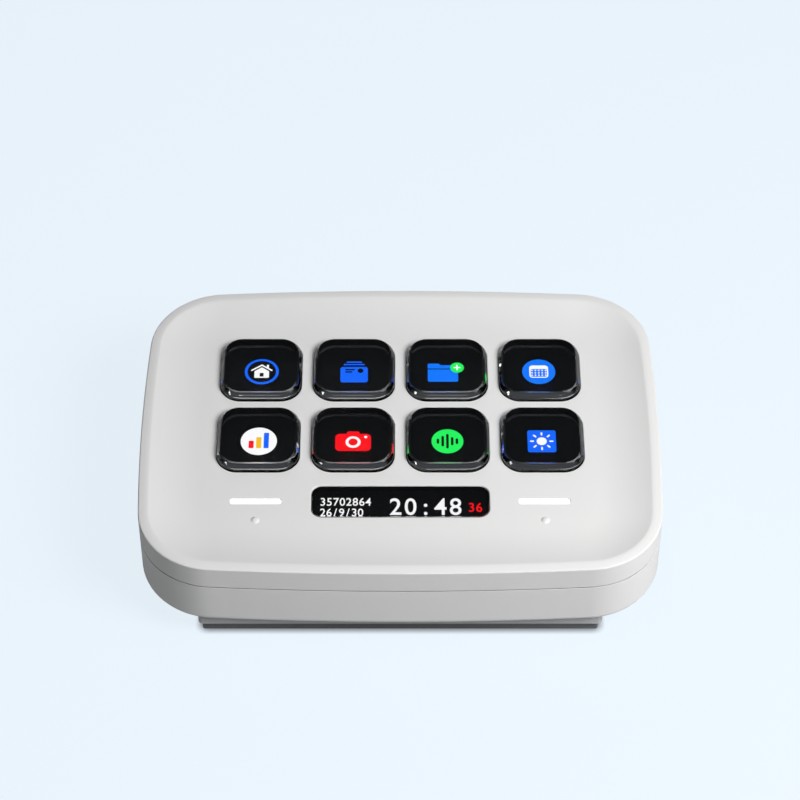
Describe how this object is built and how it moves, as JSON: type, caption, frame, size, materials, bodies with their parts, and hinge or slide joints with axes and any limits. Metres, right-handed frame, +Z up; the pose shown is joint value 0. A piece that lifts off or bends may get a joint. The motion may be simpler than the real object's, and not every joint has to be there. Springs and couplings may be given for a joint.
{
  "type": "macro keypad",
  "caption": "Desk macro keypad: dished white case on a tilted wedge foot, clear sprung keys over a display, info window, touch dots with light bars and a rear socket.",
  "frame": {"origin": "on the desk, under the middle of the object's box", "axes": "+X to the user's right along the case's width, +Y to the back, +Z up; the face is tilted 2.7 degrees about X towards the user"},
  "size_m": [0.107, 0.0786, 0.026],
  "materials": {
    "case_plastic": "fine moulded texture, pale grey white",
    "foot_plastic": "moulded, light grey",
    "sole_rubber": "matt non-slip",
    "key_clear": "polished clear polycarbonate",
    "lens_clear": "polished smoked polycarbonate",
    "black_plastic": "satin black",
    "silicone": "moulded silicone",
    "film_copper": "amber polyimide film",
    "display_glass": "black display glass",
    "light_white": "milky diffuser",
    "tray_steel": "rolled sheet",
    "board_green": "solder mask",
    "chip_black": "moulded chip body",
    "socket_ivory": "moulded",
    "socket_steel": "drawn steel shell",
    "screw_steel": "zinc plated",
    "ballast_steel": "plain plate"
  },
  "bodies": {
    "housing": {"top_shell": "case_plastic", "bottom_shell": "case_plastic", "pedestal": "foot_plastic", "rubber_sole": "sole_rubber", "ballast_plate": "ballast_steel", "key_frame": "black_plastic", "key_mat": "silicone", "switch_film": "film_copper", "display_panel": "display_glass", "backlight": "light_white", "display_tray": "tray_steel", "info_window": "lens_clear", "info_display": "display_glass", "light_pipe_left": "light_white", "light_pipe_right": "light_white", "touch_film": "film_copper", "touch_board": "board_green", "touch_leds": "light_white", "main_board": "board_green", "board_chips": "chip_black", "ribbon_sockets": "socket_ivory", "display_ribbon": "film_copper", "switch_ribbon": "film_copper", "touch_ribbon": "film_copper", "usb_socket": "socket_steel", "usb_tongue": "chip_black", "panel_screws": "screw_steel", "board_screws": "screw_steel", "case_screws": "screw_steel"},
    "key_1": {"key_cap_1": "key_clear"},
    "key_2": {"key_cap_2": "key_clear"},
    "key_3": {"key_cap_3": "key_clear"},
    "key_4": {"key_cap_4": "key_clear"},
    "key_5": {"key_cap_5": "key_clear"},
    "key_6": {"key_cap_6": "key_clear"},
    "key_7": {"key_cap_7": "key_clear"},
    "key_8": {"key_cap_8": "key_clear"}
  },
  "joints": [
    {"name": "press_1", "type": "slide", "parent": "housing", "child": "key_1", "axis": [0, 0.0471, -0.9989], "range_m": [0, 0.0007], "stiffness_N_per_m": 700, "springref_m": -0.0004},
    {"name": "press_2", "type": "slide", "parent": "housing", "child": "key_2", "axis": [0, 0.0471, -0.9989], "range_m": [0, 0.0007], "stiffness_N_per_m": 700, "springref_m": -0.0004},
    {"name": "press_3", "type": "slide", "parent": "housing", "child": "key_3", "axis": [0, 0.0471, -0.9989], "range_m": [0, 0.0007], "stiffness_N_per_m": 700, "springref_m": -0.0004},
    {"name": "press_4", "type": "slide", "parent": "housing", "child": "key_4", "axis": [0, 0.0471, -0.9989], "range_m": [0, 0.0007], "stiffness_N_per_m": 700, "springref_m": -0.0004},
    {"name": "press_5", "type": "slide", "parent": "housing", "child": "key_5", "axis": [0, 0.0471, -0.9989], "range_m": [0, 0.0007], "stiffness_N_per_m": 700, "springref_m": -0.0004},
    {"name": "press_6", "type": "slide", "parent": "housing", "child": "key_6", "axis": [0, 0.0471, -0.9989], "range_m": [0, 0.0007], "stiffness_N_per_m": 700, "springref_m": -0.0004},
    {"name": "press_7", "type": "slide", "parent": "housing", "child": "key_7", "axis": [0, 0.0471, -0.9989], "range_m": [0, 0.0007], "stiffness_N_per_m": 700, "springref_m": -0.0004},
    {"name": "press_8", "type": "slide", "parent": "housing", "child": "key_8", "axis": [0, 0.0471, -0.9989], "range_m": [0, 0.0007], "stiffness_N_per_m": 700, "springref_m": -0.0004}
  ]
}
